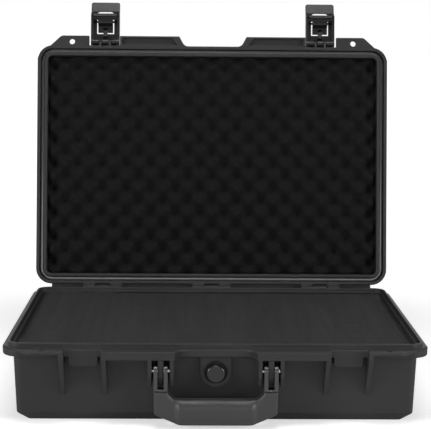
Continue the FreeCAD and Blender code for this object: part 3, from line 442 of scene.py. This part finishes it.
def scored_foam_finish(name, colour, pitch):
    """Pick foam whose columns differ a little in tone, streaked along the cuts from front to back."""
    material, tree, shader = new_finish(name)
    surface = effect(tree, "foam_cells", 1100.0)
    place = node(tree, "ShaderNodeTexCoord").outputs["Object"]
    sized = node(tree, "ShaderNodeVectorMath", {"operation": "SCALE"}, Vector=place, Scale=1 / pitch)
    whole = node(tree, "ShaderNodeVectorMath", {"operation": "FLOOR"}, n0=sized.outputs[0])
    column = node(tree, "ShaderNodeTexWhiteNoise", Vector=whole.outputs[0])
    along = node(tree, "ShaderNodeMapping", Vector=place, Scale=(90.0, 6.0, 6.0))
    streak = node(tree, "ShaderNodeTexNoise", Vector=along.outputs[0], Scale=1.0, Detail=4.0)
    columns = math_node(tree, "MULTIPLY", column.outputs[0], 0.1)
    streaks = math_node(tree, "MULTIPLY", stretch(tree, streak.outputs[0], 0.3, 0.7), 0.5)
    specks = math_node(tree, "MULTIPLY", surface["Tone"], 0.4)
    tone = math_node(tree, "ADD", math_node(tree, "ADD", columns, streaks), specks)
    tint(tree, shader, colour, tone, low=0.75, high=1.25)
    bump(tree, shader, surface["Height"], strength=0.4, distance=0.0006)
    set_shader(material, Roughness=0.95, Specular_IOR_Level=0.15)
    return material


def ground_steel(name, colour):
    """Ground steel with fine lines round its length."""
    material, tree, shader = new_finish(name)
    place = node(tree, "ShaderNodeTexCoord").outputs["Object"]
    along = node(tree, "ShaderNodeMapping", Vector=place, Scale=(4000.0, 300.0, 300.0))
    lines = node(tree, "ShaderNodeTexNoise", Vector=along.outputs[0], Scale=1.0, Detail=2.0)
    marks = effect(tree, "handling_marks", 60.0)
    tint(tree, shader, colour, marks["Mask"], low=0.85, high=1.05)
    vary_roughness(tree, shader, lines.outputs[0], outside=0.22, inside=0.38)
    bump(tree, shader, lines.outputs[0], strength=0.08, distance=0.0001)
    set_shader(material, Metallic=1.0)
    return material


def finish_nodes(material, names):
    """Give CAD nodes a finish."""
    for name in names:
        mesh = frame["nodes"][name].data
        mesh.materials.clear()
        mesh.materials.append(material)


def both_sides(*names):
    """Names of pieces that come in a left and a right one."""
    return [f"{name}_{side}" for name in names for side in ("left", "right")]


class HARDCASE_OT_shells(Operator):
    """Finish the moulded base, lid and handle fork"""
    bl_idname = "hardcase.shells"
    bl_label = "Finish shells"

    def execute(self, context):
        trim = context.scene.hardcase_trim
        shell = moulded_plastic(
            "shell_plastic", trim.shell_colour, grain=850.0, strength=0.16, roughness=0.5, edge=trim.edge
        )
        set_shader(shell, Specular_IOR_Level=0.35)
        finish_nodes(shell, ["base_shell", "lid_shell"])
        fork = moulded_plastic(
            "fork_plastic", trim.shell_colour, grain=1400.0, strength=0.06, roughness=0.3, edge=trim.edge
        )
        set_shader(fork, Specular_IOR_Level=0.9)
        finish_nodes(fork, ["handle_frame"])
        return {"FINISHED"}


class HARDCASE_OT_hardware(Operator):
    """Finish the latches, pins, springs and purge valve"""
    bl_idname = "hardcase.hardware"
    bl_label = "Finish hardware"

    def execute(self, context):
        trim = context.scene.hardcase_trim
        latch = moulded_plastic(
            "latch_plastic", trim.latch_colour, grain=1400.0, strength=0.1, roughness=0.32,
            edge=0.5 * trim.edge
        )
        finish_nodes(latch, both_sides("latch_lever", "latch_button"))
        steel = ground_steel("pin_steel", trim.steel_colour)
        finish_nodes(steel, both_sides("hinge_pin", "handle_pin") + ["hinge_pin_centre"])
        dark_steel = ground_steel("dark_steel", trim.dark_steel)
        finish_nodes(dark_steel, both_sides("latch_pin", "button_pin", "button_spring"))
        valve = moulded_plastic(
            "valve_plastic", trim.valve_colour, grain=2000.0, strength=0.04, roughness=0.24, edge=trim.edge
        )
        set_shader(valve, Specular_IOR_Level=0.1, Coat_Weight=1.0, Coat_Roughness=0.1)
        finish_nodes(valve, ["valve_body", "valve_nut", "valve_knob"])
        # The seal takes the gasket's colour, which is lightened as a painted highlight.
        finish_nodes(soft_rubber("seal_rubber", trim.gasket_painted_highlight_colour, roughness=0.5), ["valve_seal"])
        return {"FINISHED"}


class HARDCASE_OT_lid_foam(Operator):
    """Add the convoluted foam sheet that fills the lid"""
    bl_idname = "hardcase.lid_foam"
    bl_label = "Add lid foam"

    def execute(self, context):
        foam = context.scene.hardcase_foam
        low, high = closed_box("lid_foam")
        size = high - low
        middle = (low + high) / 2
        bpy.ops.object.select_all(action="DESELECT")
        bpy.ops.mesh.primitive_grid_add(
            x_subdivisions=round(size.x / foam.mesh_step),
            y_subdivisions=round(size.y / foam.mesh_step),
            size=1,
        )
        sheet = context.object
        sheet.name = "lid_foam_sheet"
        half = foam.wave_depth / 2
        turn = 2 * math.pi / foam.wave_pitch
        for vertex in sheet.data.vertices:
            spot = vertex.co
            edge = min(0.5 - abs(spot.x), (0.5 - abs(spot.y)) * size.y / size.x) * size.x
            spot.x, spot.y = spot.x * size.x, spot.y * size.y
            crest = math.cos(turn * spot.x) * math.cos(turn * spot.y)
            uneven = lump(spot, *LID_LUMPS)
            # The sheet's edge rolls back into the lid
            roll = max(0, 1 - edge / foam.lid_edge) ** 2
            round_corner(spot, size / 2, foam.lid_corner)
            spot.z = low.z + half * (1 - crest) + uneven + foam.lid_edge * roll
            spot.y += middle.y
        close_below(sheet, low.z + SHEET_FILLS * size.z, SHEET_TAPER)
        tidy_normals(sheet)
        sheet.data.transform(LID_OPEN)
        smooth(sheet, 50)
        material = foam_finish("lid_foam_black", foam.lid_colour, cells=900.0)
        hand_over(sheet, "lid", "lid_foam", material)
        return {"FINISHED"}


class HARDCASE_OT_base_foam(Operator):
    """Add the scored pick foam in the base, and the pad under it"""
    bl_idname = "hardcase.base_foam"
    bl_label = "Add base foam"

    def execute(self, context):
        foam = context.scene.hardcase_foam
        material = scored_foam_finish("pick_foam_grey", foam.base_colour, foam.score_pitch)
        low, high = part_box("pick_foam")
        size = high - low
        bpy.ops.object.select_all(action="DESELECT")
        bpy.ops.mesh.primitive_grid_add(
            x_subdivisions=round(size.x / foam.score_pitch),
            y_subdivisions=round(size.y / foam.score_pitch),
            size=1,
            location=(0, (low.y + high.y) / 2, high.z - foam.score_depth - LUMP_ROOM),
        )
        block = context.object
        block.name = "pick_foam_block"
        block.scale = (size.x, size.y, 1)
        bpy.ops.object.transform_apply(location=True, rotation=False, scale=True)
        edit(block)
        bpy.ops.mesh.select_all(action="SELECT")
        bpy.ops.mesh.inset(use_individual=True, thickness=foam.score_width / 2, depth=foam.score_depth)
        bpy.ops.mesh.inset(use_individual=True, thickness=foam.score_width, depth=foam.score_depth / 4)
        leave_edit()
        for vertex in block.data.vertices:
            vertex.co.z += lump(vertex.co, *BASE_LUMPS)
        close_below(block, low.z - BLOCK_EXTRA, 0)
        tidy_normals(block)
        self.trim_to_case(context, block, "pick_foam", 1 - 2 * foam.side_gap / size.x)
        smooth(block, 35)
        hand_over(block, "base", "pick_foam", material)
        self.add_pad(context, material)
        return {"FINISHED"}

    def trim_to_case(self, context, block, name, narrower):
        """Cut foam to its tapered, round-cornered room in the base, a little clear of the walls."""
        room = bpy.data.objects.new("foam_room", frame["nodes"][name].data.copy())
        context.scene.collection.objects.link(room)
        tidy_normals(room)
        room.data.transform(Matrix.Diagonal((narrower, FOAM_ALONG, 1, 1)))
        modify(block, "BOOLEAN", operation="INTERSECT", object=room, solver="EXACT")
        bpy.data.objects.remove(room)
        tidy_normals(block)
        # Cutting leaves a few points along edges, where no third edge meets
        edit(block)
        pick(block, "verts", lambda vertex: len(vertex.link_edges) == 2)
        bpy.ops.mesh.dissolve_verts()
        leave_edit()

    def add_pad(self, context, material):
        """Thin sheet under the pick foam, with softened edges."""
        low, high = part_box("base_pad")
        bpy.ops.object.select_all(action="DESELECT")
        bpy.ops.mesh.primitive_cube_add(size=1, location=(low + high) / 2)
        pad = context.object
        pad.name = "base_pad_sheet"
        pad.scale = high - low
        bpy.ops.object.transform_apply(location=True, rotation=False, scale=True)
        modify(pad, "BEVEL", width=PAD_EDGE, segments=3, limit_method="ANGLE")
        self.trim_to_case(context, pad, "base_pad", PAD_ACROSS)
        smooth(pad, 40)
        hand_over(pad, "base", "base_pad", material)


class HARDCASE_OT_gasket(Operator):
    """Add the soft sealing cord in the lid's groove"""
    bl_idname = "hardcase.gasket"
    bl_label = "Add gasket"

    def execute(self, context):
        trim = context.scene.hardcase_trim
        low, high = closed_box("lid_gasket")
        bpy.ops.object.select_all(action="DESELECT")
        bpy.ops.mesh.primitive_plane_add(size=1, location=(0, (low.y + high.y) / 2, low.z))
        cord = context.object
        cord.name = "lid_gasket_cord"
        cord.scale = (high.x - low.x, high.y - low.y, 1)
        bpy.ops.object.transform_apply(location=True, rotation=False, scale=True)
        edit(cord)
        bpy.ops.mesh.select_all(action="SELECT")
        bpy.ops.mesh.bevel(affect="VERTICES", offset=trim.gasket_corner, segments=12)
        pick(cord, "faces", lambda face: True)
        bpy.ops.mesh.inset(thickness=trim.gasket_width, depth=0)
        pick(cord, "faces", lambda face: face.calc_area() > RING_MIDDLE)
        bpy.ops.mesh.delete(type="FACE")
        bpy.ops.mesh.select_all(action="SELECT")
        bpy.ops.mesh.extrude_region_move(TRANSFORM_OT_translate={"value": (0, 0, high.z - low.z)})
        leave_edit()
        tidy_normals(cord)
        modify(
            cord, "BEVEL", width=trim.gasket_round, segments=5, limit_method="ANGLE",
            angle_limit=math.radians(60)
        )
        cord.data.transform(LID_OPEN)
        smooth(cord, 40)
        # The gasket's lightened colour is a painted highlight along the lid's sides.
        rubber = soft_rubber("gasket_rubber", trim.gasket_painted_highlight_colour, roughness=0.26)
        set_shader(rubber, Coat_Weight=1.0, Coat_Roughness=0.15)
        hand_over(cord, "lid", "lid_gasket", rubber)
        return {"FINISHED"}


class HARDCASE_OT_grip(Operator):
    """Add the soft sleeve moulded over the handle's legs and bar"""
    bl_idname = "hardcase.grip"
    bl_label = "Add grip"

    def execute(self, context):
        trim = context.scene.hardcase_trim
        sleeve = bpy.data.objects.new("handle_sleeve", frame["nodes"]["handle_grip"].data.copy())
        context.scene.collection.objects.link(sleeve)
        tidy_normals(sleeve)
        modify(sleeve, "REMESH", mode="VOXEL", voxel_size=trim.grip_voxel)
        modify(sleeve, "SMOOTH", factor=0.5, iterations=trim.grip_soften)
        # The bar and its bends are softened further than the ends that meet the fork
        ends = max(vertex.co.z for vertex in sleeve.data.vertices) - GRIP_ENDS
        bends = sleeve.vertex_groups.new(name="bends")
        for vertex in sleeve.data.vertices:
            strength = min(1, max(0, (ends - vertex.co.z) / GRIP_BLEND))
            bends.add([vertex.index], strength, "REPLACE")
        modify(sleeve, "SMOOTH", factor=0.5, iterations=trim.bend_soften, vertex_group="bends")
        focus(sleeve)
        bpy.ops.object.shade_smooth()
        rubber = soft_rubber("grip_rubber", trim.grip_colour, roughness=0.54)
        set_shader(rubber, Specular_IOR_Level=0.8)
        hand_over(sleeve, "handle", "handle_grip", rubber)
        return {"FINISHED"}


class HARDCASE_OT_stage(Operator):
    """Add the floor, the lights and the camera"""
    bl_idname = "hardcase.stage"
    bl_label = "Add stage"

    def execute(self, context):
        stage = context.scene.hardcase_stage
        self.add_floor(context, stage)
        self.add_sky(context, stage)
        self.add_light(context, "top_light", place=(0, -0.6, 1.9), size=(0.9, 0.4), power=stage.top_power)
        self.add_light(context, "front_light", place=(0, -2.4, 0.5), size=(1.6, 0.5), power=stage.front_power)
        for name, side in (("left_light", -1), ("right_light", 1)):
            place = (side * 1.75, -1.2, 0.6)
            self.add_light(context, name, place, size=(0.9, 0.9), power=stage.side_power)
        self.add_camera(context, stage)
        context.scene.view_settings.view_transform = "Standard"
        return {"FINISHED"}

    def add_floor(self, context, stage):
        """Pale floor that shows the case's shadow and goes over into the white backdrop."""
        bpy.ops.object.select_all(action="DESELECT")
        bpy.ops.mesh.primitive_plane_add(size=FLOOR_SIZE)
        floor = context.object
        floor.name = "floor"
        material, tree, shader = new_finish("floor_pale")
        set_shader(material, Base_Color=(*stage.floor_colour, 1), Roughness=0.9, Specular_IOR_Level=0.1)
        ray = node(tree, "ShaderNodeLightPath").outputs
        place = node(tree, "ShaderNodeTexCoord").outputs["Object"]
        away = node(tree, "ShaderNodeVectorMath", {"operation": "LENGTH"}, n0=place).outputs["Value"]
        white = node(
            tree, "ShaderNodeMapRange", Value=away, From_Min=FLOOR_NEAR, From_Max=FLOOR_FAR,
            To_Min=stage.floor_glow, To_Max=1.0
        )
        strength = math_node(tree, "MULTIPLY", ray["Is Camera Ray"], white.outputs[0])
        glow = node(tree, "ShaderNodeEmission", Color=(1, 1, 1, 1), Strength=strength)
        both = node(tree, "ShaderNodeAddShader", n0=shader.outputs[0], n1=glow.outputs[0])
        tree.links.new(both.outputs[0], tree.nodes["Material Output"].inputs["Surface"])
        floor.data.materials.append(material)

    def add_sky(self, context, stage):
        """Even pale light all round, white to the camera."""
        world = bpy.data.worlds.new("studio_sky")
        context.scene.world = world
        world.use_nodes = True
        tree = world.node_tree
        ray = node(tree, "ShaderNodeLightPath").outputs
        # Behind the case the sky is a white backdrop, also in what shines
        toward = node(tree, "ShaderNodeTexCoord").outputs["Generated"]
        back_part = stretch(tree, node(tree, "ShaderNodeSeparateXYZ", Vector=toward).outputs["Y"], 0.1, 0.5)
        shine = math_node(tree, "MAXIMUM", ray["Is Glossy Ray"], ray["Is Transmission Ray"])
        mirrored = math_node(tree, "MULTIPLY", shine, back_part)
        white = math_node(tree, "MAXIMUM", ray["Is Camera Ray"], mirrored)
        strength = node(tree, "ShaderNodeMapRange", Value=white, To_Min=stage.sky_strength, To_Max=1.0)
        back = tree.nodes["Background"]
        back.inputs["Color"].default_value = (1, 1, 1, 1)
        tree.links.new(strength.outputs[0], back.inputs["Strength"])

    def add_light(self, context, name, place, size, power):
        """A softbox aimed over the middle of the case."""
        bpy.ops.object.select_all(action="DESELECT")
        bpy.ops.object.light_add(type="AREA", location=place)
        lamp = context.object
        lamp.name = name
        lamp.data.shape = "RECTANGLE"
        lamp.data.size, lamp.data.size_y = size
        lamp.data.energy = power
        lamp.rotation_euler = (LIGHTS_AIM - Vector(place)).to_track_quat("-Z", "Y").to_euler()

    def add_camera(self, context, stage):
        """The camera at the photograph's viewing angle."""
        bpy.ops.object.camera_add(location=stage.camera_place)
        camera = context.object
        camera.name = "camera"
        camera.data.lens = stage.lens
        camera.data.sensor_width = SENSOR_WIDTH
        down, roll, turn = stage.camera_turn
        level = Matrix.Rotation(-turn, 3, "Z") @ Matrix.Rotation(math.pi / 2 - down, 3, "X")
        camera.rotation_euler = (level @ Matrix.Rotation(roll, 3, "Z")).to_euler()
        context.scene.camera = camera


class HARDCASE_PT_dressing(Panel):
    """Lists the settings and the steps that dress the case"""
    bl_label = "Hard case"
    bl_idname = "HARDCASE_PT_dressing"
    bl_space_type = "VIEW_3D"
    bl_region_type = "UI"
    bl_category = "Hard case"

    def draw(self, context):
        for group in (context.scene.hardcase_foam, context.scene.hardcase_trim, context.scene.hardcase_stage):
            box = self.layout.box()
            for setting in group.__annotations__:
                box.prop(group, setting)
        for step in STEPS:
            self.layout.operator(step.bl_idname)


STEPS = (
    HARDCASE_OT_shells, HARDCASE_OT_hardware, HARDCASE_OT_lid_foam, HARDCASE_OT_base_foam, HARDCASE_OT_gasket,
    HARDCASE_OT_grip, HARDCASE_OT_stage,
)
CLASSES = (FoamSettings, TrimSettings, StageSettings) + STEPS + (HARDCASE_PT_dressing,)


def register():
    """Make the settings, steps and panel known."""
    for made in CLASSES:
        bpy.utils.register_class(made)
    bpy.types.Scene.hardcase_foam = PointerProperty(type=FoamSettings)
    bpy.types.Scene.hardcase_trim = PointerProperty(type=TrimSettings)
    bpy.types.Scene.hardcase_stage = PointerProperty(type=StageSettings)


def unregister():
    """Take them away again."""
    del bpy.types.Scene.hardcase_stage
    del bpy.types.Scene.hardcase_trim
    del bpy.types.Scene.hardcase_foam
    for made in reversed(CLASSES):
        bpy.utils.unregister_class(made)


def main():
    """Dress the case and set it in its studio."""
    register()
    bpy.ops.hardcase.shells()
    bpy.ops.hardcase.hardware()
    bpy.ops.hardcase.lid_foam()
    bpy.ops.hardcase.base_foam()
    bpy.ops.hardcase.gasket()
    bpy.ops.hardcase.grip()
    bpy.ops.hardcase.stage()


if __name__ == "__main__":
    main()
